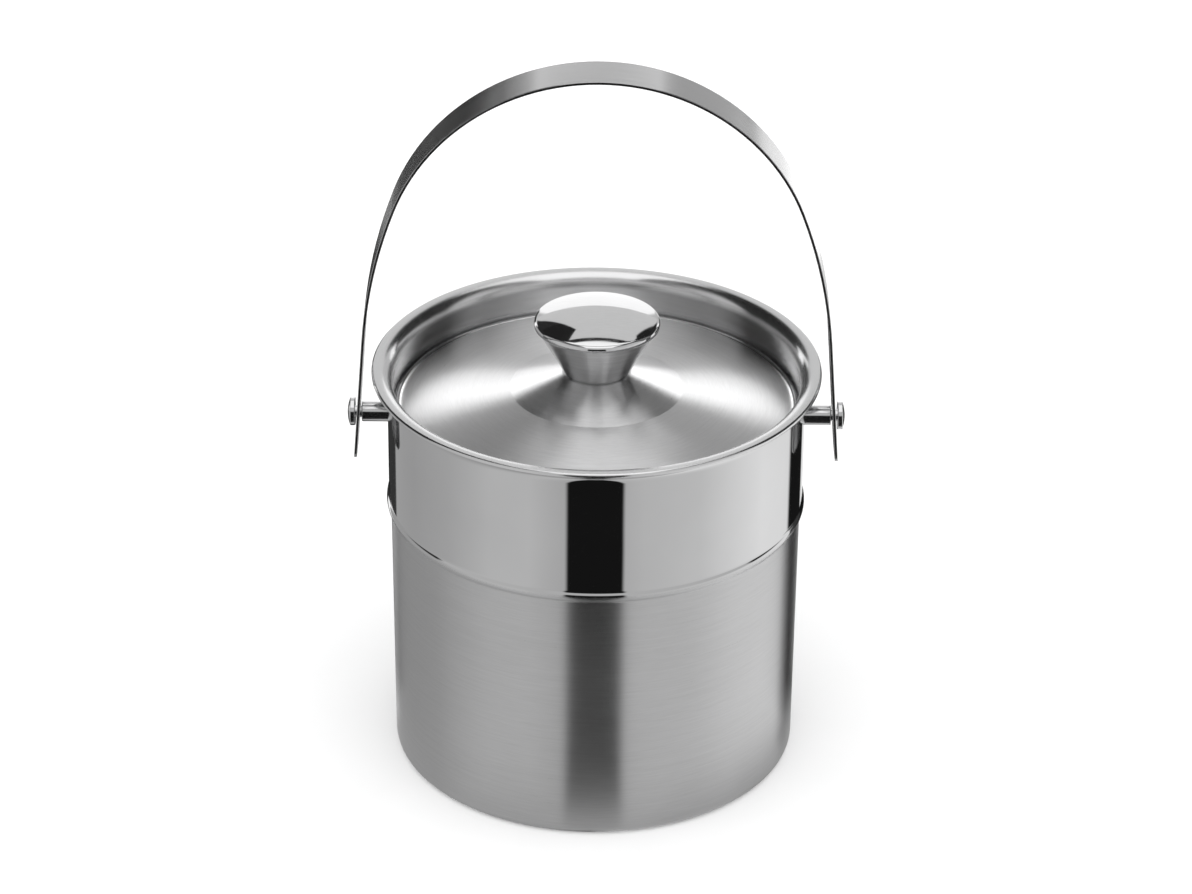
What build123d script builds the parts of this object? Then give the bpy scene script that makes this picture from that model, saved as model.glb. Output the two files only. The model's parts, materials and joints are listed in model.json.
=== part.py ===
"""Double-walled stainless steel ice bucket with a drop-in lid and a strap bail handle.

Millimetres. The origin is the centre of the foot, +Z is up, and the handle's pivots are on the X axis.
"""

import os
from math import cos, radians, sin

from build123d import *

# ---- Driving dimensions -------------------------------------------------------------------------
sheet = 0.6  # steel sheet of both walls and the lid
gap = 0.1  # slack between pieces that drop into each other
edge_flat = 0.01  # left between the two roundings of a folded edge

# Outer wall
foot_inner_r = 58.0
bottom_r = 68.5
bottom_round = 3.0
body_top_r = 69.1  # the satin body widens a little towards the bead
band_r = 69.8  # the polished band above the bead
bead_z = 93.2
bead_crest_r = 70.55
bead_round = 2.0
bead_fillet = 1.5
neck_z = 135.2
neck_round = 4.1
neck_turn = 80.0  # degrees that the neck flares outward under the lip

# Inner vessel
rim_r = 75.0
rim_top = 141.5
lip_round = 0.8  # half the lip's thickness
lip_width = 2.6
crown_round = 5.0
recess_r = 68.0
cavity_r = 64.2
cavity_floor = 8.0
floor_round = 8.0
ledge_z = 127.3
ledge_round = 0.7

# Base disc
base_panel_lift = 1.6
base_panel_r = 55.0
base_panel_rounds = [1.5, 0.8]  # at the top and the foot of the panel's sloping edge
base_disc_r = 63.0

# Lid
lid_r = 67.3
lid_edge = 1.2  # folded edge, twice the sheet
lid_flat_r = 64.6
lid_boss_r = 28.9
lid_boss_z = 133.8
lid_land_r = 11.6
lid_land_z = 140.0
lid_rounds = [1.2, 1.6, 4.0]  # at the land, the foot of the boss and the outer flat

# Knob
knob_base_r = 10.8
knob_top_r = 20.3
knob_top_z = 156.9
knob_wall = 1.6
knob_floor = 9.0
knob_edge_round = 0.35
cap_r = 21.0
cap_rim = 0.8
cap_rim_bevel = 0.3
cap_shoulder = 1.6
cap_shoulder_turn = 73.0  # degrees above level where the shoulder runs into the dome
cap_top_z = 162.3
cap_spigot = 1.6
thread_r = 2.0
knob_screw_head_r = 4.2
knob_screw_head = 2.6
knob_screw_head_round = 1.4
knob_screw_length = 8.0
knob_screw_tip = 0.5
recess_length = 4.6  # the cross recess in the screw's head
recess_width = 1.0
recess_depth = 1.5
washer_r = 6.5
washer_thickness = 0.8
washer_round = 0.25

# Handle
pivot_z = 123.7
strap_width = 17.0
strap_thickness = 1.0
strap_tail_z = 109.2
strap_tail_round = 4.0
strap_edge_round = 0.2
strap_top_z = 247.7  # mid-line of the strap at the top of the arch
arch_round = 71.4
arch_end = 20.75  # degrees above level where the arch meets the shoulder
shoulder_round = 170.0
leg_lean = 4.24  # degrees that each leg leans outward
pivot_clearance = 0.05

# Pivots
post_r = 3.4
post_end = 78.5
post_edge = 0.3
screw_head_r = 4.75
screw_head_in = 80.7
screw_head_edge = 1.7
screw_head_dome = 0.9
screw_head_round = 0.3
screw_depth = 6.0
stud_r = 1.5
stud_end = 65.6
plate_width = 14.0
plate_above = 2.7  # the backing plate stops just under the ledge
plate_below = 7.3
plate_corner = 2.0
plate_thickness = 0.8
nut_across = 5.5
nut_height = 1.8
nut_face = 68.2

pocket = band_r - sheet  # inside radius of the outer wall
sides = {"left": -1, "right": 1}

os.makedirs("parts", exist_ok=True)


def save(part, name):
    """Labels one finished piece and writes it as its own file."""
    part.label = name
    export_step(part, f"parts/{name}.step")


def on_arc(centre, radius, degrees):
    """The point of a circle at an angle from the +X direction of its sketch."""
    return (centre[0] + radius * cos(radians(degrees)), centre[1] + radius * sin(radians(degrees)))


def bead_joint(wall_r, side):
    """Where the bead's fillet leaves a wall, and where it meets the bead, below (-1) or above (+1)."""
    bead_centre_r = bead_crest_r - bead_round
    reach = bead_round + bead_fillet
    rise = side * (reach**2 - (wall_r + bead_fillet - bead_centre_r) ** 2) ** 0.5
    share = bead_round / reach
    on_bead = (
        bead_centre_r + share * (wall_r + bead_fillet - bead_centre_r),
        bead_z + share * rise,
    )
    return (wall_r, bead_z + rise), on_bead


# ---- Outer wall: foot, satin body, bead, polished band and flared neck ---------------------------
below_bead, bead_start = bead_joint(body_top_r, -1)
above_bead, bead_end = bead_joint(band_r, 1)
neck_centre = (band_r + neck_round, neck_z)
neck_end = on_arc(neck_centre, neck_round, 180 - neck_turn)

with BuildPart() as outer_wall:
    with BuildSketch(Plane.XZ):
        with BuildLine():
            foot = Line((foot_inner_r, 0), (bottom_r - bottom_round, 0))
            TangentArc(foot @ 1, (bottom_r, bottom_round), tangent=foot % 1)
            body = Line((bottom_r, bottom_round), below_bead)
            TangentArc(below_bead, bead_start, tangent=body % 1)
            crest = ThreePointArc(bead_start, (bead_crest_r, bead_z), bead_end)
            TangentArc(bead_end, above_bead, tangent=crest % 1)
            band = Line(above_bead, (band_r, neck_z))
            TangentArc(band @ 1, neck_end, tangent=band % 1)
            offset(amount=sheet, side=Side.LEFT)
        make_face()
    revolve(axis=Axis.Z)
    # Holes for the two pivot posts
    with BuildSketch(Plane.YZ):
        with Locations((0, pivot_z)):
            Circle(stud_r)
    extrude(amount=rim_r, both=True, mode=Mode.SUBTRACT)
save(outer_wall.part, "outer_wall")

# ---- Inner vessel: ice cavity, ledge for the lid, recess wall and folded lip ---------------------
with BuildPart() as inner_vessel:
    with BuildSketch(Plane.XZ):
        with BuildLine():
            FilletPolyline(
                (0, cavity_floor),
                (cavity_r, cavity_floor),
                (cavity_r, ledge_z),
                (recess_r, ledge_z),
                (recess_r, rim_top),
                (rim_r - lip_round, rim_top),
                radius=[floor_round, ledge_round, ledge_round, crown_round],
            )
            offset(amount=sheet, side=Side.RIGHT)
        make_face()
        # The lip is folded under, with a rounded edge
        with Locations((rim_r - lip_width / 2, rim_top - lip_round)):
            Rectangle(lip_width, 2 * lip_round)
        lip_corners = vertices().group_by(Axis.X)[-1]
        fillet(lip_corners, radius=lip_round - edge_flat)
    revolve(axis=Axis.Z)
save(inner_vessel.part, "inner_vessel")

# ---- Base disc: closes the outer wall, its panel raised clear of the table -----------------------
with BuildPart() as base_disc:
    with BuildSketch(Plane.XZ):
        with BuildLine():
            FilletPolyline(
                (0, sheet + base_panel_lift),
                (base_panel_r, sheet + base_panel_lift),
                (base_panel_r + base_panel_lift, sheet),
                (base_disc_r, sheet),
                radius=base_panel_rounds,
            )
            offset(amount=sheet, side=Side.LEFT)
        make_face()
    revolve(axis=Axis.Z)
save(base_disc.part, "base_disc")

# ---- Lid disc: folded edge, shallow cone, steeper boss and a land for the knob -------------------
lid_top_z = ledge_z + lid_edge
with BuildPart() as lid_disc:
    with BuildSketch(Plane.XZ):
        with BuildLine():
            FilletPolyline(
                (thread_r + gap, lid_land_z),
                (lid_land_r, lid_land_z),
                (lid_boss_r, lid_boss_z),
                (lid_flat_r, lid_top_z),
                (lid_r - lid_edge / 2, lid_top_z),
                radius=lid_rounds,
            )
            offset(amount=sheet, side=Side.RIGHT)
        make_face()
        # The edge is folded under, with a rounded outside
        with BuildLine():
            top = Line((lid_flat_r, lid_top_z), (lid_r - lid_edge / 2, lid_top_z))
            fold = TangentArc(top @ 1, (lid_r - lid_edge / 2, ledge_z), tangent=top % 1)
            Polyline(fold @ 1, (lid_flat_r, ledge_z), top @ 0)
        make_face()
    revolve(axis=Axis.Z)
save(lid_disc.part, "lid_disc")

# ---- Knob cone: a spun cup with a threaded floor --------------------------------------------------
flare = (knob_top_r - knob_base_r) / (knob_top_z - lid_land_z)
knob_floor_z = lid_land_z + knob_floor
inside_base_r = knob_base_r + flare * knob_floor - knob_wall
inside_top_r = knob_top_r - knob_wall
with BuildPart() as knob_cone:
    with BuildSketch(Plane.XZ):
        with BuildLine():
            Polyline(
                (thread_r, lid_land_z),
                (knob_base_r, lid_land_z),
                (knob_top_r, knob_top_z),
                (inside_top_r, knob_top_z),
                (inside_base_r, knob_floor_z),
                (thread_r, knob_floor_z),
                close=True,
            )
        make_face()
        outside_corners = vertices().sort_by_distance((knob_base_r, lid_land_z))[:1]
        outside_corners += vertices().sort_by_distance((knob_top_r, knob_top_z))[:1]
        fillet(outside_corners, radius=knob_edge_round)
    revolve(axis=Axis.Z)
save(knob_cone.part, "knob_cone")

# ---- Knob cap: polished dome with a rounded shoulder and a spigot inside the cone ----------------
spigot_r = inside_top_r - flare * cap_spigot - gap
shoulder_centre = (cap_r - cap_shoulder, knob_top_z + cap_rim)
dome_start = on_arc(shoulder_centre, cap_shoulder, cap_shoulder_turn)
with BuildPart() as knob_cap:
    with BuildSketch(Plane.XZ):
        with BuildLine():
            dome = TangentArc((0, cap_top_z), dome_start, tangent=(1, 0))
            shoulder = TangentArc(dome @ 1, (cap_r, knob_top_z + cap_rim), tangent=dome % 1)
            Polyline(
                shoulder @ 1,
                (cap_r, knob_top_z + cap_rim_bevel),
                (cap_r - cap_rim_bevel, knob_top_z),
                (spigot_r, knob_top_z),
                (spigot_r, knob_top_z - cap_spigot),
                (0, knob_top_z - cap_spigot),
                dome @ 0,
            )
        make_face()
    revolve(axis=Axis.Z)
save(knob_cap.part, "knob_cap")

# ---- Knob fastener: pan head screw and washer under the lid ---------------------------------------
screw_seat = lid_land_z - sheet - washer_thickness
with BuildPart() as knob_washer:
    with BuildSketch(Plane.XY.offset(screw_seat)):
        Circle(washer_r)
    extrude(amount=washer_thickness)
    fillet(knob_washer.edges(), radius=washer_round)
    with BuildSketch(Plane.XY.offset(screw_seat)):
        Circle(thread_r + gap)
    extrude(amount=washer_thickness, mode=Mode.SUBTRACT)
save(knob_washer.part, "knob_washer")

with BuildPart() as knob_screw:
    with BuildSketch(Plane.XY.offset(screw_seat - knob_screw_head)):
        Circle(knob_screw_head_r)
    extrude(amount=knob_screw_head)
    fillet(knob_screw.edges().group_by(Axis.Z)[0], radius=knob_screw_head_round)
    # Cross recess
    with BuildSketch(Plane.XY.offset(screw_seat - knob_screw_head)):
        for turn in (0, 90):
            SlotOverall(recess_length, recess_width, rotation=turn)
    extrude(amount=recess_depth, mode=Mode.SUBTRACT)
    with BuildSketch(Plane.XY.offset(screw_seat)):
        Circle(thread_r)
    extrude(amount=lid_land_z - screw_seat + knob_screw_length)
    chamfer(knob_screw.edges().group_by(Axis.Z)[-1], length=knob_screw_tip)
save(knob_screw.part, "knob_screw")

# ---- Handle strap: one flat strip bent to straight legs, wide shoulders and a round arch ----------
arch_centre = (0, strap_top_z - arch_round)
arch_foot = on_arc(arch_centre, arch_round, arch_end)
shoulder_hub = on_arc(arch_centre, arch_round - shoulder_round, arch_end)
shoulder_foot = on_arc(shoulder_hub, shoulder_round, leg_lean)
leg_drop = shoulder_foot[1] - strap_tail_z
leg_spread = leg_drop * sin(radians(leg_lean)) / cos(radians(leg_lean))
tail = (shoulder_foot[0] + leg_spread, strap_tail_z)
trim = 12.0  # cutting tools reach this far past the rim


def across(point):
    """The matching point on the other leg."""
    return (-point[0], point[1])


with BuildPart() as handle_strap:
    with BuildSketch(Plane.XZ):
        with BuildLine():
            leg = Line(tail, shoulder_foot)
            bend = TangentArc(leg @ 1, arch_foot, tangent=leg % 1)
            arch = ThreePointArc(arch_foot, (0, strap_top_z), across(arch_foot))
            TangentArc(across(arch_foot), across(shoulder_foot), tangent=arch % 1)
            Line(across(shoulder_foot), across(tail))
            offset(amount=strap_thickness / 2, side=Side.BOTH)
        make_face()
    extrude(amount=strap_width / 2, both=True)
    # Trim the tails level and round their corners, as seen from the side
    with BuildSketch(Plane.YZ.offset(-rim_r - trim)):
        with Locations((0, strap_tail_z + rim_r + trim)):
            RectangleRounded(strap_width, 2 * (rim_r + trim), strap_tail_round)
    extrude(amount=2 * (rim_r + trim), mode=Mode.INTERSECT)
    # Break the long edges and those round the tails, but not the seams across the strip
    cross_edges = handle_strap.edges().filter_by(lambda e: abs(e.center().Y) < strap_thickness)
    seams = cross_edges.filter_by(lambda e: e.center().Z > strap_tail_z + strap_thickness)
    short = handle_strap.edges().filter_by(lambda e: e.length < 1.5 * strap_thickness)
    fillet(handle_strap.edges() - seams - short, radius=strap_edge_round)
    # Pivot holes
    with BuildSketch(Plane.YZ):
        with Locations((0, pivot_z)):
            Circle(thread_r + pivot_clearance)
    extrude(amount=rim_r + trim, both=True, mode=Mode.SUBTRACT)
save(handle_strap.part, "handle_strap")


# ---- Pivots: post outside the wall, domed screw through the strap, plate and nut inside the gap ---
def pivot_plane(side, distance):
    """A plane across the pivot axis, facing away from the bucket, on its left or right."""
    return Plane(origin=(side * distance, 0, pivot_z), x_dir=(0, 1, 0), z_dir=(side, 0, 0))


def round_wall(radius, mode):
    """Trims the current part by a round wall: INTERSECT keeps what is inside it, SUBTRACT the rest."""
    with BuildSketch(Plane.XY.offset(pivot_z - plate_width)) as wall:
        Circle(radius)
    extrude(wall.sketch, amount=2 * plate_width, mode=mode)


for name, side in sides.items():
    # Post: its shoulder is hollowed to sit on the round wall, and its stud passes through it
    with BuildPart() as post:
        with BuildSketch(pivot_plane(side, pocket)):
            Circle(post_r)
        extrude(amount=post_end - pocket)
        fillet(post.edges().sort_by(Axis.X)[0 if side < 0 else -1], radius=post_edge)
        round_wall(band_r, Mode.SUBTRACT)
        with BuildSketch(pivot_plane(side, stud_end)):
            Circle(stud_r)
        extrude(amount=post_end - screw_depth - stud_end)
        with BuildSketch(pivot_plane(side, post_end - screw_depth)):
            Circle(thread_r)
        extrude(amount=screw_depth, mode=Mode.SUBTRACT)
    save(post.part, f"pivot_post_{name}")

    # Screw: a drum head with a shallow dome, and the plain shank that the strap turns on
    with BuildPart() as screw:
        with BuildSketch(Plane.XZ):
            with BuildLine():
                rim = Line(
                    (side * screw_head_in, pivot_z + screw_head_r),
                    (side * (screw_head_in + screw_head_edge), pivot_z + screw_head_r),
                )
                dome_top = (side * (screw_head_in + screw_head_edge + screw_head_dome), pivot_z)
                TangentArc(dome_top, rim @ 1, tangent=(0, 1))
                Polyline(
                    dome_top,
                    (side * (post_end - screw_depth), pivot_z),
                    (side * (post_end - screw_depth), pivot_z + thread_r),
                    (side * screw_head_in, pivot_z + thread_r),
                    rim @ 0,
                )
            make_face()
            head_corners = vertices().sort_by_distance(rim @ 0)[:1]
            head_corners += vertices().sort_by_distance(rim @ 1)[:1]
            fillet(head_corners, radius=screw_head_round)
        revolve(axis=Axis((0, 0, pivot_z), (1, 0, 0)))
    save(screw.part, f"pivot_screw_{name}")

    # Backing plate: curved to the inside of the outer wall
    with BuildPart() as plate:
        with BuildSketch(pivot_plane(side, cavity_r)):
            with Locations((0, side * (plate_above - plate_below) / 2)):
                RectangleRounded(plate_width, plate_above + plate_below, plate_corner)
            Circle(stud_r, mode=Mode.SUBTRACT)
        extrude(amount=band_r - cavity_r)
        round_wall(pocket, Mode.INTERSECT)
        round_wall(pocket - plate_thickness, Mode.SUBTRACT)
    save(plate.part, f"pivot_plate_{name}")

    # Nut: thin hexagon on the stud
    with BuildPart() as nut:
        with BuildSketch(pivot_plane(side, nut_face - nut_height)):
            RegularPolygon(nut_across / 2, 6, major_radius=False)
            Circle(stud_r, mode=Mode.SUBTRACT)
        extrude(amount=nut_height)
    save(nut.part, f"pivot_nut_{name}")
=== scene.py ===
"""Looks of the double-walled ice bucket: brushed and polished steel, pale floor, soft studio light.

Metres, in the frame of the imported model; the outlines of the turned pieces are in millimetres.
The bucket stands on Z = 0, its front is -Y and its handle turns about X.
"""

import json
from math import acos, cos, degrees, pi, radians, sin, tan

import bpy
from mathutils import Euler, Matrix, Vector

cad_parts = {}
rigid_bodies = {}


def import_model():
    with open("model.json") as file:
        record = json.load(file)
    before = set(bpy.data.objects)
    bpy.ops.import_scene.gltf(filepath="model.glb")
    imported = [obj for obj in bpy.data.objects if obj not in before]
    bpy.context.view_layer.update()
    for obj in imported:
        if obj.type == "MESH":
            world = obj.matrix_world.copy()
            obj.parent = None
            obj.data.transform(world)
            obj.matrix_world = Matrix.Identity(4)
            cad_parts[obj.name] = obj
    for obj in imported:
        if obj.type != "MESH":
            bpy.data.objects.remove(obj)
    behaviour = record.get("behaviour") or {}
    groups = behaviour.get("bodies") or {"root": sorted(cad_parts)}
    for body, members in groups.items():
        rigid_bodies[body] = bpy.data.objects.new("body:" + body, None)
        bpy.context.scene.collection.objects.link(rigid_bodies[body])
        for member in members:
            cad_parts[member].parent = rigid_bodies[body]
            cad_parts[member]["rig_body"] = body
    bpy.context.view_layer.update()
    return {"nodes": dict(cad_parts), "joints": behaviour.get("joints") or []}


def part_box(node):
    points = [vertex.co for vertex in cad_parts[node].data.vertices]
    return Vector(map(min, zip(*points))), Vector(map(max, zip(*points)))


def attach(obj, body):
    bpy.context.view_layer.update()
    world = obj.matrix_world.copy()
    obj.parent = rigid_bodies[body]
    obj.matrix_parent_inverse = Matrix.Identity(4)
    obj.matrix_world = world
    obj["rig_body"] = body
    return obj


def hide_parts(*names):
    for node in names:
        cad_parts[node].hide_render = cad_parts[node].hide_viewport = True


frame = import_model()
nodes = frame["nodes"]

# ---- Where the finishes change, and where the lip and lid brim get a painted highlight -------
bead_z = 0.0932
lip_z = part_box("inner_vessel")[1].z - 0.0022
lip_r = 0.0676
brim_r = 0.0652
brim_crown = 0.0003  # how much higher the lid's brim looks in its middle than at its edges

# ---- Camera ----------------------------------------------------------------------------------
camera_target = Vector((0, 0, 0.11078))
camera_distance = 1.46157
camera_elevation = radians(28.594)
camera_roll = radians(0.508)
camera_lens = 131.16
sensor_width = 36.0

# ---- Studio: brightness, where 1 is white ----------------------------------------------------
backdrop = 1.0
floor_light = 1.35
room = 0.62
room_behind = 0.03
high_room = 0.2
white_wall = 1.28
grey_panel = 0.73
overhead_box = 1.28
dark = 0.02
front_gap = 0.01
foot_card_glow = 0.5

floor_r = 6.0
foot_card_in = 0.0688
foot_card_out = 0.088
foot_card_z = -0.0002

# Below the horizon: azimuth in degrees from the front, + to the right, and the brightness there
LOW_LIGHT = [
    (-180, 0.01),
    (-163, 0.01),
    (-160, 0.43),
    (-120, 0.44),
    (-89, 0.51),
    (-61, 0.65),
    (-37, 0.67),
    (-25, 0.60),
    (-15.6, 0.55),
    (-14.6, 0.01),
    (14.6, 0.01),
    (15.6, 0.60),
    (27, 0.67),
    (60, 0.75),
    (88, 0.95),
    (105, 1.05),
    (125, 1.0),
    (134, 0.95),
    (137, 0.01),
    (159, 0.01),
    (162, 0.90),
    (180, 0.90),
]

# Flags and dim areas behind: azimuths in degrees from the back, + to the right, and the softness
# of those edges; heights in degrees above the horizon, and theirs; the brightness
BACK_FLAGS = [
    ((-33, -14), 1.0, (-40, 15), 1.0, 0.04),
    ((-24, -14), 1.0, (15, 24), 1.0, 0.6),
    ((14, 33), 1.0, (-2, 24), 1.0, 0.6),
    ((20, 43), 0.7, (-60, -1), 2.0, 0.01),
    ((42, 58), 1.0, (-23, 4), 1.5, 0.05),
]

# Softboxes for one piece only, as that piece sees them from a point: azimuth from the back and
# height in degrees, distance, width and length, power
SOFTBOXES = [
    ("lid_box_left", "lid_disc", (0, 0, 0.13), (-28, 18), 1.0, (0.56, 0.42), 1.25),
    ("lid_box_right", "lid_disc", (0, 0, 0.13), (28, 18), 1.0, (0.56, 0.42), 1.25),
    ("lid_box_top", "lid_disc", (0.06, 0, 0.13), (0, 90), 1.0, (0.66, 1.05), 2.2),
    ("strap_box", "handle_strap", (0.06, 0, 0.2), (24, -12), 0.4, (0.14, 0.19), 0.095),
]


class Nodes:
    """Builds a node tree. A socket's value is a number, a vector or another node's output."""

    def __init__(self, tree):
        self.tree = tree
        tree.nodes.clear()

    def set(self, socket, value):
        if isinstance(value, bpy.types.NodeSocket):
            self.tree.links.new(value, socket)
        elif value is not None:
            socket.default_value = value

    def add(self, kind, *values, **settings):
        node = self.tree.nodes.new(kind)
        for key, value in settings.items():
            setattr(node, key, value)
        for socket, value in zip(node.inputs, values):
            self.set(socket, value)
        return node

    def math(self, operation, *values):
        return self.add("ShaderNodeMath", *values, operation=operation).outputs[0]

    def plus(self, first, second):
        return self.math("ADD", first, second)

    def times(self, first, *others):
        for other in others:
            first = self.math("MULTIPLY", first, other)
        return first

    def degrees(self, operation, *values):
        """The angle that ARCSINE or ARCTAN2 gives, in degrees."""
        return self.math("DEGREES", self.math(operation, *values))

    def lerp(self, share, low, high):
        """low where share is 0, high where it is 1."""
        node = self.add("ShaderNodeMix", share, data_type="FLOAT")
        self.set(node.inputs[2], low)
        self.set(node.inputs[3], high)
        return node.outputs[0]

    def blend(self, share, low, high):
        """The same for colours."""
        node = self.add("ShaderNodeMix", share, data_type="RGBA")
        self.set(node.inputs[6], low)
        self.set(node.inputs[7], high)
        return node.outputs[2]

    def rise(self, value, start, end, low=0.0, high=1.0):
        """A smooth step from low to high as value goes from start to end."""
        step = self.add("ShaderNodeMapRange", value, start, end, low, high)
        step.interpolation_type = "SMOOTHSTEP"
        return step.outputs[0]

    def fall(self, value, start, end):
        """A smooth step from 1 to 0."""
        return self.rise(value, start, end, 1.0, 0.0)

    def between(self, value, start, end, soft):
        """1 between start and end, 0 outside, with soft edges."""
        inside = self.rise(value, start - soft, start + soft)
        return self.times(inside, self.fall(value, end - soft, end + soft))

    def ramp(self, value, stops):
        """Straight runs between (position, grey) stops."""
        node = self.add("ShaderNodeValToRGB", value)
        elements = node.color_ramp.elements
        while len(elements) < len(stops):
            elements.new(0.5)
        for element, (position, grey) in zip(elements, stops):
            element.position = position
            element.color = (grey, grey, grey, 1)
        return node.outputs[0]

    def noise(self, vector, scale, detail=2.0, roughness=0.5):
        node = self.add("ShaderNodeTexNoise")
        self.set(node.inputs["Vector"], vector)
        node.inputs["Scale"].default_value = scale
        node.inputs["Detail"].default_value = detail
        node.inputs["Roughness"].default_value = roughness
        return node.outputs["Fac"]

    def vector(self, x, y, z):
        return self.add("ShaderNodeCombineXYZ", x, y, z).outputs[0]

    def split(self, vector):
        return self.add("ShaderNodeSeparateXYZ", vector).outputs


# ---- Light: a white studio with softboxes and dark flags, as polished steel mirrors it -------
def studio_world():
    world = bpy.data.worlds.new("studio")
    bpy.context.scene.world = world
    world.use_nodes = True
    world.cycles.sampling_method = "NONE"
    n = Nodes(world.node_tree)
    x, y, z = n.split(n.add("ShaderNodeTexCoord").outputs["Generated"])
    azimuth = n.degrees("ARCTAN2", x, n.times(y, -1.0))
    from_back = n.degrees("ARCTAN2", x, y)
    off_back = n.math("ABSOLUTE", from_back)
    off_front = n.math("ABSOLUTE", azimuth)
    height = n.degrees("ARCSINE", z)
    aside = n.math("ABSOLUTE", n.degrees("ARCSINE", x))
    pitch = n.degrees("ARCTAN2", z, y)

    # The table and walls, low down
    turn = n.plus(n.math("DIVIDE", azimuth, 360.0), 0.5)
    low = n.ramp(turn, [(a / 360 + 0.5, grey) for a, grey in LOW_LIGHT])
    # Above the horizon: an even room in front, dark behind, dim high up
    level = n.lerp(n.rise(off_back, 88, 93), room_behind, room)
    upper = n.lerp(n.rise(height, 46, 56), level, high_room)
    light = n.lerp(n.rise(height, 6, 14), low, upper)
    # A white wall behind, and the flags in front of it
    wall = n.times(n.rise(height, -24, -21), n.fall(off_back, 40, 42))
    light = n.lerp(n.times(wall, n.fall(height, 20, 21)), light, white_wall)
    for turns, turn_soft, heights, height_soft, grey in BACK_FLAGS:
        across = n.between(from_back, *turns, turn_soft)
        flag = n.times(across, n.between(height, *heights, height_soft))
        light = n.lerp(flag, light, grey)
    # A grey panel over the white wall, and black either side of it
    back_half = n.rise(y, 0.0, 0.05)
    black = n.times(back_half, n.fall(aside, 36, 44))
    light = n.lerp(n.times(n.between(height, 36, 70, 1.0), black), light, dark)
    slope = n.math("ABSOLUTE", n.math("SUBTRACT", height, 46.0))
    left_edge = n.math("MULTIPLY_ADD", slope, -0.0075, -0.13)
    right_edge = n.math("MULTIPLY_ADD", slope, 0.003, 0.25)
    right_of_left = n.rise(n.math("SUBTRACT", x, left_edge), -0.006, 0.006)
    left_of_right = n.fall(n.math("SUBTRACT", x, right_edge), -0.006, 0.006)
    middle = n.times(right_of_left, left_of_right)
    panel = n.times(n.rise(height, 20, 21), n.fall(pitch, 55.0, 55.6))
    light = n.lerp(n.times(panel, middle, back_half), light, grey_panel)
    # The softbox overhead, from behind over the top to the front
    over = n.times(n.rise(x, -0.27, -0.25), n.fall(x, 0.36, 0.38))
    along = n.times(n.rise(pitch, 58.0, 58.6), n.fall(pitch, 122, 130))
    light = n.lerp(n.times(over, along), light, overhead_box)
    # The dark gap in front, where the camera stands
    front = n.times(n.fall(off_front, 14, 17), n.between(height, -75, 22, 3))
    light = n.lerp(front, light, front_gap)

    # The floor is lit evenly, and the backdrop is plain white
    rays = n.add("ShaderNodeLightPath").outputs
    light = n.lerp(rays["Is Glossy Ray"], floor_light, light)
    light = n.lerp(rays["Is Camera Ray"], light, backdrop)
    background = n.add("ShaderNodeBackground", (1, 1, 1, 1), light)
    n.add("ShaderNodeOutputWorld", background.outputs[0])


def disc(name, inner_r, outer_r, z, segments=128):
    """A flat ring, or a disc where inner_r is 0, lying level."""
    turns = [2 * pi * i / segments for i in range(segments)]
    points = [(outer_r * cos(t), outer_r * sin(t), z) for t in turns]
    if inner_r:
        points += [(inner_r * cos(t), inner_r * sin(t), z) for t in turns]
        around = [(i, (i + 1) % segments) for i in range(segments)]
        faces = [(a, b, b + segments, a + segments) for a, b in around]
    else:
        faces = [tuple(range(segments))]
    mesh = bpy.data.meshes.new(name)
    mesh.from_pydata(points, [], faces)
    ring = bpy.data.objects.new(name, mesh)
    bpy.context.scene.collection.objects.link(ring)
    return ring


def new_material(name):
    material = bpy.data.materials.new(name)
    material.use_nodes = True
    return material, Nodes(material.node_tree)


def studio_floor():
    """The pale floor, which no steel mirrors, and a glowing ring seen only in the steel."""
    floor = disc("floor", 0, floor_r, 0)
    floor.visible_glossy = False
    material, n = new_material("pale_floor")
    place = n.add("ShaderNodeTexCoord").outputs["Object"]
    shade = n.blend(n.noise(place, 40.0, 4.0), (0.93, 0.93, 0.93, 1), (0.96, 0.96, 0.96, 1))
    paint = n.add("ShaderNodeBsdfDiffuse", shade, 0.5)
    n.add("ShaderNodeOutputMaterial", paint.outputs[0])
    floor.data.materials.append(material)

    card = disc("foot_card", foot_card_in, foot_card_out, foot_card_z)
    card.visible_camera = False
    card.visible_diffuse = False
    card.visible_shadow = False
    material, n = new_material("white_card")
    glow = n.add("ShaderNodeEmission", (1, 1, 1, 1), foot_card_glow)
    n.add("ShaderNodeOutputMaterial", glow.outputs[0])
    card.data.materials.append(material)


# ---- Turned pieces: the walls, lid and knob cap as fine meshes, for clean reflections --------
turn_steps = 256
corner_steps = 10
dome_steps = 40
crease_angle = radians(35)


def arc(centre, radius, start, end, steps=corner_steps):
    """Points of a circle between two angles in degrees."""
    turns = [radians(start + (end - start) * i / steps) for i in range(steps + 1)]
    return [(centre[0] + radius * cos(t), centre[1] + radius * sin(t)) for t in turns]


def rounded(outline):
    """The points of a closed outline of (r, z, rounding) corners."""
    points = []
    for i, (r, z, rounding) in enumerate(outline):
        if not rounding:
            points.append((r, z))
            continue
        corner = Vector((r, z))
        before = (Vector(outline[i - 1][:2]) - corner).normalized()
        after = (Vector(outline[(i + 1) % len(outline)][:2]) - corner).normalized()
        half = before.angle(after) / 2
        centre = corner + (before + after).normalized() * rounding / sin(half)
        start = corner + before * rounding / tan(half) - centre
        sweep = (pi - 2 * half) * (1 if before.cross(after) < 0 else -1)
        for k in range(corner_steps + 1):
            t = sweep * k / corner_steps
            x = start.x * cos(t) - start.y * sin(t)
            y = start.x * sin(t) + start.y * cos(t)
            points.append((centre.x + x, centre.y + y))
    return points


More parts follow.
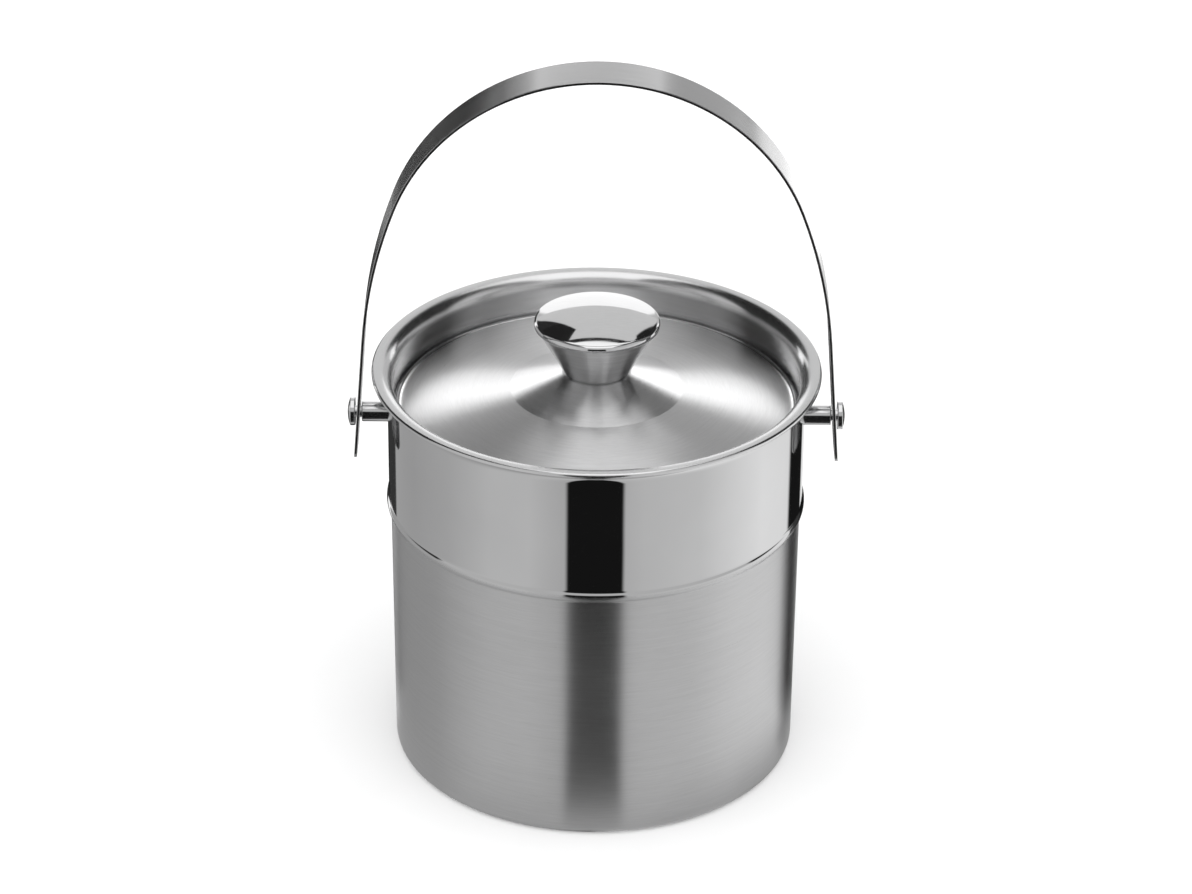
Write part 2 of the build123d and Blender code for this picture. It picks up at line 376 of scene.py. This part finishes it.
def turned(name, outline, replaced):
    """Turns a closed outline of (r, z) points round the bucket's axis, in a CAD node's place."""
    turns = [2 * pi * k / turn_steps for k in range(turn_steps)]
    verts, faces, rings = [], [], []
    for r, z in outline:
        if r < 1e-6:
            rings.append([len(verts)] * turn_steps)
            verts.append((0, 0, z / 1000))
            continue
        rings.append(list(range(len(verts), len(verts) + turn_steps)))
        verts += [(r * cos(t) / 1000, r * sin(t) / 1000, z / 1000) for t in turns]
    for ring, other in zip(rings, rings[1:] + rings[:1]):
        for k in range(turn_steps):
            after = (k + 1) % turn_steps
            face = list(dict.fromkeys([ring[k], ring[after], other[after], other[k]]))
            if len(face) > 2:
                faces.append(face)
    mesh = bpy.data.meshes.new(name)
    mesh.from_pydata(verts, [], faces)
    mesh.validate()
    mesh.shade_smooth()
    mesh.set_sharp_from_angle(angle=crease_angle)
    piece = bpy.data.objects.new(name, mesh)
    bpy.context.scene.collection.objects.link(piece)
    even = piece.modifiers.new("even_normals", "WEIGHTED_NORMAL")
    even.keep_sharp = True
    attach(piece, nodes[replaced]["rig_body"])
    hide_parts(replaced)
    nodes[replaced] = piece


def vessel_mesh():
    outline = [
        (0, 8, 0),
        (64.2, 8, 8),
        (64.2, 127.3, 0.7),
        (68, 127.3, 0.7),
        (68, 141.5, 5),
        (75, 141.5, 0.79),
        (75, 139.9, 0.79),
        (72.4, 139.9, 0),
        (72.4, 140.9, 0),
        (68.6, 140.9, 4.4),
        (68.6, 126.7, 1.3),
        (64.8, 126.7, 0.1),
        (64.8, 7.4, 8.6),
        (0, 7.4, 0),
    ]
    turned("vessel_wall", rounded(outline), "inner_vessel")


def outer_mesh():
    """The outside from the foot to the flared neck, and the same path one sheet further in."""
    sheet = 0.6
    body, band = 69.1, 69.8
    bead, bead_fillet = 2.0, 1.5
    crest = (70.55 - bead, 93.2)
    foot_inner, foot_round = 58, 3
    foot_hub = (65.5, foot_round)
    neck = 4.1
    hub_gap = bead + bead_fillet
    low = degrees(acos((body + bead_fillet - crest[0]) / hub_gap))
    high = degrees(acos((band + bead_fillet - crest[0]) / hub_gap))
    low_hub = (body + bead_fillet, crest[1] - hub_gap * sin(radians(low)))
    high_hub = (band + bead_fillet, crest[1] + hub_gap * sin(radians(high)))
    paths = []
    for depth in (0.0, sheet):
        path = [(foot_inner, depth)] + arc(foot_hub, foot_round - depth, -90, 0)
        path += arc(low_hub, bead_fillet + depth, 180, 180 - low)
        path += arc(crest, bead - depth, -low, high)[1:-1]
        path += arc(high_hub, bead_fillet + depth, 180 + high, 180)
        path += arc((band + neck, 135.2), neck + depth, 180, 100)
        paths.append(path)
    outside, inside = paths
    turned("outer_skin", outside[::-1] + inside, "outer_wall")


def lid_mesh():
    outline = [
        (2.1, 140, 0),
        (11.6, 140, 1.2),
        (28.9, 133.8, 1.6),
        (64.6, 128.5, 4),
        (67.3, 128.5, 0.59),
        (67.3, 127.3, 0.59),
        (64.6, 127.3, 0),
        (64.6, 127.9, 0),
        (64.2, 127.93, 0),
        (28.8, 133.2, 1.0),
        (11.5, 139.4, 0.6),
        (2.1, 139.4, 0),
    ]
    turned("lid_dome", rounded(outline), "lid_disc")


def cap_mesh():
    """The knob's cap: a shallow dome, a tight shoulder, and the plug under it."""
    base, rim, top = 156.9, 157.7, 162.3
    edge_r, shoulder, lean = 21, 1.6, 73.0
    bevel = 0.3
    plug_r, plug_depth = 17.7, 1.6
    hub = (edge_r - shoulder, rim)
    start_r = hub[0] + shoulder * cos(radians(lean))
    drop = top - (hub[1] + shoulder * sin(radians(lean)))
    dome_r = (start_r**2 + drop**2) / (2 * drop)
    outline = arc((0, top - dome_r), dome_r, 90, degrees(acos(start_r / dome_r)), dome_steps)
    outline[0] = (0, top)
    outline += arc(hub, shoulder, lean, 0)[1:]
    outline += [(edge_r, base + bevel), (edge_r - bevel, base)]
    outline += [(plug_r, base), (plug_r, base - plug_depth), (0, base - plug_depth)]
    turned("knob_dome", outline, "knob_cap")


# ---- Steel -----------------------------------------------------------------------------------
across_grain = 0.25  # the turn that stretches the gloss across the tangent


def steel(name, anisotropy, turn=0.0):
    """A new metal. Returns it, its nodes, its shader and the place on the surface, in metres."""
    material, n = new_material(name)
    shader = n.add("ShaderNodeBsdfPrincipled")
    shader.inputs["Metallic"].default_value = 1.0
    shader.inputs["Anisotropic"].default_value = anisotropy
    shader.inputs["Anisotropic Rotation"].default_value = turn
    n.add("ShaderNodeOutputMaterial", shader.outputs[0])
    place = n.add("ShaderNodeTexCoord").outputs["Object"]
    return material, n, shader, place


def turned_round_z(name, anisotropy):
    """The same, brushed or turned in circles round the bucket's axis."""
    material, n, shader, place = steel(name, anisotropy, across_grain)
    tangent = n.add("ShaderNodeTangent", direction_type="RADIAL", axis="Z")
    n.set(shader.inputs["Tangent"], tangent.outputs[0])
    return material, n, shader, place


def polar(n, place):
    """The distance from the bucket's axis, the cos and sin of the direction from it, and z."""
    x, y, z = n.split(place)
    squares = n.plus(n.times(x, x), n.times(y, y))
    radius = n.math("MAXIMUM", n.math("SQRT", squares), 0.0001)
    return radius, n.math("DIVIDE", x, radius), n.math("DIVIDE", y, radius), z


def hairlines(n, east, north, across, length, pitch):
    """Streaks that run a share of a turn round the axis (length) and are pitch metres apart."""
    east, north = n.times(east, 1 / length), n.times(north, 1 / length)
    return n.noise(n.vector(east, north, n.math("DIVIDE", across, pitch)), 1.0, 3.0, 0.65)


def brushed(n, east, north, across, fine, coarse, share=0.4):
    """Fine and coarse hairlines, each (length, pitch), with that share of the coarse."""
    fine = hairlines(n, east, north, across, *fine)
    return n.lerp(share, fine, hairlines(n, east, north, across, *coarse))


def tint(n, shader, streaks, smudges, low, high):
    """Colours the metal between two greys, by its streaks and a little by its smudges."""
    share = n.rise(n.plus(n.times(streaks, 0.7), n.times(smudges, 0.3)), 0.25, 0.75)
    low, high = (low, low, low * 1.004, 1), (high, high, high * 1.006, 1)
    n.set(shader.inputs["Base Color"], n.blend(share, low, high))


def bump(n, shader, heights, distance):
    """Raises the surface by distance metres where heights is 1."""
    node = n.add("ShaderNodeBump")
    node.inputs["Strength"].default_value = 1.0
    node.inputs["Distance"].default_value = distance
    n.set(node.inputs["Height"], heights)
    n.set(shader.inputs["Normal"], node.outputs[0])


def assign(material, *names):
    for name in names:
        nodes[name].data.materials.clear()
        nodes[name].data.materials.append(material)


groove = 0.000004


def outer_wall_steel():
    """Satin, brushed round the body, up to the bead; mirror polished over it."""
    material, n, shader, place = turned_round_z("outer_wall_steel", 1.0)
    _, east, north, z = polar(n, place)
    streaks = brushed(n, east, north, z, (0.12, 0.00022), (0.5, 0.0011))
    smudges = n.noise(place, 28.0, 3.0)
    polished = n.rise(z, bead_z - 0.0002, bead_z + 0.0008)
    satin = n.plus(n.plus(n.times(streaks, 0.12), n.times(smudges, 0.04)), 0.22)
    mirror = n.rise(smudges, 0.35, 0.75, 0.035, 0.06)
    n.set(shader.inputs["Roughness"], n.lerp(polished, satin, mirror))
    tint(n, shader, n.lerp(polished, streaks, 0.6), smudges, 0.57, 0.68)
    # Over the grooves, shallow waves 12 grooves deep, as drawn sheet has
    grooves = n.lerp(polished, streaks, n.times(smudges, 0.5))
    waves = n.noise(place, 24.0, 1.0)
    bump(n, shader, n.math("MULTIPLY_ADD", waves, 12.0, grooves), groove)
    assign(material, "outer_wall")


def inner_vessel_steel():
    """Satin, brushed round, with a polished lip whose colour is lifted lighter as a painted
    highlight.
    """
    material, n, shader, place = turned_round_z("inner_vessel_steel", 0.95)
    radius, east, north, z = polar(n, place)
    streaks = brushed(n, east, north, n.plus(z, radius), (0.15, 0.0002), (0.5, 0.0010))
    smudges = n.noise(place, 30.0, 3.0)
    over = n.rise(z, lip_z - 0.0006, lip_z + 0.0004)
    polished = n.times(over, n.rise(radius, lip_r, lip_r + 0.001))
    satin = n.plus(n.times(streaks, 0.10), 0.19)
    bright = n.rise(smudges, 0.3, 0.8, 0.16, 0.22)
    n.set(shader.inputs["Roughness"], n.lerp(polished, satin, bright))
    # On the lip the colour is lifted to the lighter grey: a painted highlight, besides the lip's
    # real lower roughness.
    tint(n, shader, n.lerp(polished, streaks, 1.0), smudges, 0.55, 0.72)
    bump(n, shader, n.times(streaks, n.math("SUBTRACT", 1.0, polished)), groove)
    assign(material, "inner_vessel")


def lid_steel():
    """Satin, brushed in circles, with a polished brim that looks slightly crowned, its colour
    lifted lighter as a painted highlight.
    """
    material, n, shader, place = turned_round_z("lid_steel", 1.0)
    radius, east, north, _ = polar(n, place)
    streaks = brushed(n, east, north, radius, (0.10, 0.00022), (0.5, 0.0012))
    smudges = n.noise(place, 30.0, 3.0)
    rough = n.plus(n.times(streaks, 0.12), n.times(smudges, 0.04))
    brim = n.rise(radius, brim_r, brim_r + 0.0006)
    n.set(shader.inputs["Roughness"], n.lerp(brim, n.plus(rough, 0.22), 0.10))
    # On the brim the colour is lifted to the lighter grey: a painted highlight, besides the brim's
    # real lower roughness.
    tint(n, shader, n.lerp(brim, streaks, 1.2), smudges, 0.60, 0.74)
    inner_slope = n.rise(radius, brim_r - 0.0003, brim_r + 0.0009)
    crown = n.times(inner_slope, n.fall(radius, brim_r + 0.0010, brim_r + 0.0022))
    bump(n, shader, n.math("MULTIPLY_ADD", crown, brim_crown / groove, streaks), groove)
    assign(material, "lid_disc")


def turned_steel(name, low, high, rough, pitch, *targets):
    """Turned on a lathe about the bucket's axis."""
    material, n, shader, place = turned_round_z(name, 0.85)
    radius, east, north, z = polar(n, place)
    coarse = (1.5, pitch * 4)
    streaks = brushed(n, east, north, n.plus(z, radius), (0.25, pitch), coarse, 0.5)
    smudges = n.noise(place, 60.0, 3.0)
    n.set(shader.inputs["Roughness"], n.lerp(streaks, rough * 0.8, rough * 1.25))
    tint(n, shader, streaks, smudges, low, high)
    bump(n, shader, streaks, 0.000005)
    assign(material, *targets)


def cap_steel():
    """Mirror polished, with the faint swirls that wiping leaves."""
    material, n, shader, place = steel("knob_cap_steel", 0.0)
    wiped = n.add("ShaderNodeMapping", place, None, (0.4, 0.2, 0.9), (1, 6, 2))
    swirls = n.noise(wiped.outputs[0], 260.0, 4.0, 0.7)
    smudges = n.noise(place, 90.0, 3.0)
    rough = n.rise(n.plus(swirls, smudges), 0.8, 1.4, 0.035, 0.10)
    n.set(shader.inputs["Roughness"], rough)
    tint(n, shader, swirls, smudges, 0.68, 0.72)
    bump(n, shader, swirls, 0.000001)
    assign(material, "knob_cap")


def strap_steel():
    """Bright, with fine lines drawn along the strip."""
    material, n, shader, place = steel("handle_strap_steel", 0.8)
    across = n.add(
        "ShaderNodeVectorTransform",
        n.vector(0.0, 1.0, 0.0),
        vector_type="VECTOR",
        convert_from="OBJECT",
        convert_to="WORLD",
    )
    n.set(shader.inputs["Tangent"], across.outputs[0])
    x, y, z = n.split(place)
    lines = n.vector(n.times(x, 40.0), n.math("DIVIDE", y, 0.0002), n.times(z, 40.0))
    streaks = n.noise(lines, 1.0, 3.0, 0.6)
    smudges = n.noise(place, 45.0, 3.0)
    rough = n.plus(n.times(streaks, 0.08), n.times(smudges, 0.05))
    n.set(shader.inputs["Roughness"], n.plus(rough, 0.09))
    tint(n, shader, streaks, smudges, 0.46, 0.54)
    bump(n, shader, streaks, 0.000002)
    assign(material, "handle_strap")


def pivot_steel():
    """Turned about the handle's axis and polished."""
    material, n, shader, place = steel("pivot_steel", 0.0)
    x, y, z = n.split(place)
    drop = n.math("SUBTRACT", z, frame["joints"][0]["pos_m"][2])
    radius = n.math("SQRT", n.plus(n.times(y, y), n.times(drop, drop)))
    rings = n.plus(radius, n.times(n.math("ABSOLUTE", x), 0.9))
    lines = n.vector(n.math("DIVIDE", rings, 0.0002), 0.0, 0.0)
    streaks = n.noise(lines, 1.0, 3.0, 0.6)
    smudges = n.noise(place, 200.0, 3.0)
    n.set(shader.inputs["Roughness"], n.lerp(streaks, 0.08, 0.2))
    tint(n, shader, streaks, smudges, 0.62, 0.72)
    bump(n, shader, streaks, 0.000002)
    for side in ("left", "right"):
        assign(material, f"pivot_post_{side}", f"pivot_screw_{side}")


def softbox(name, target, origin, turn_and_height, distance, size, power):
    """An area light for one piece only."""
    only = bpy.data.collections.new(f"{name}_lights")
    only.objects.link(nodes[target])
    lamp = bpy.data.lights.new(name, "AREA")
    lamp.shape = "RECTANGLE"
    lamp.size, lamp.size_y = size
    lamp.energy = power
    box = bpy.data.objects.new(name, lamp)
    bpy.context.scene.collection.objects.link(box)
    turn, height = (radians(angle) for angle in turn_and_height)
    aim = Vector((sin(turn) * cos(height), cos(turn) * cos(height), sin(height)))
    box.location = Vector(origin) + aim * distance
    box.rotation_euler = aim.to_track_quat("Z", "Y").to_euler()
    box.visible_camera = False
    box.light_linking.receiver_collection = only


def camera():
    lens = bpy.data.cameras.new("camera")
    lens.lens = camera_lens
    lens.sensor_width = sensor_width
    lens.clip_start = 0.01
    lens.clip_end = 100.0
    obj = bpy.data.objects.new("camera", lens)
    bpy.context.scene.collection.objects.link(obj)
    back = Vector((0, -cos(camera_elevation), sin(camera_elevation)))
    place = Matrix.Translation(camera_target + back * camera_distance)
    tilt = Euler((pi / 2 - camera_elevation, 0, 0)).to_matrix().to_4x4()
    roll = Matrix.Rotation(camera_roll, 4, "Z")
    obj.matrix_world = place @ tilt @ roll
    bpy.context.scene.camera = obj


outer_mesh()
vessel_mesh()
lid_mesh()
cap_mesh()
outer_wall_steel()
inner_vessel_steel()
lid_steel()
turned_steel("base_disc_steel", 0.52, 0.62, 0.34, 0.0003, "base_disc")
turned_steel("knob_cone_steel", 0.46, 0.68, 0.24, 0.00025, "knob_cone")
turned_steel("fastener_steel", 0.50, 0.58, 0.30, 0.0003, "knob_screw", "knob_washer")
turned_steel("plate_steel", 0.50, 0.56, 0.40, 0.0004, "pivot_plate_left", "pivot_plate_right")
turned_steel("nut_steel", 0.50, 0.56, 0.30, 0.0003, "pivot_nut_left", "pivot_nut_right")
cap_steel()
strap_steel()
pivot_steel()
studio_world()
studio_floor()
for box_settings in SOFTBOXES:
    softbox(*box_settings)
camera()
bpy.context.scene.view_settings.view_transform = "Standard"
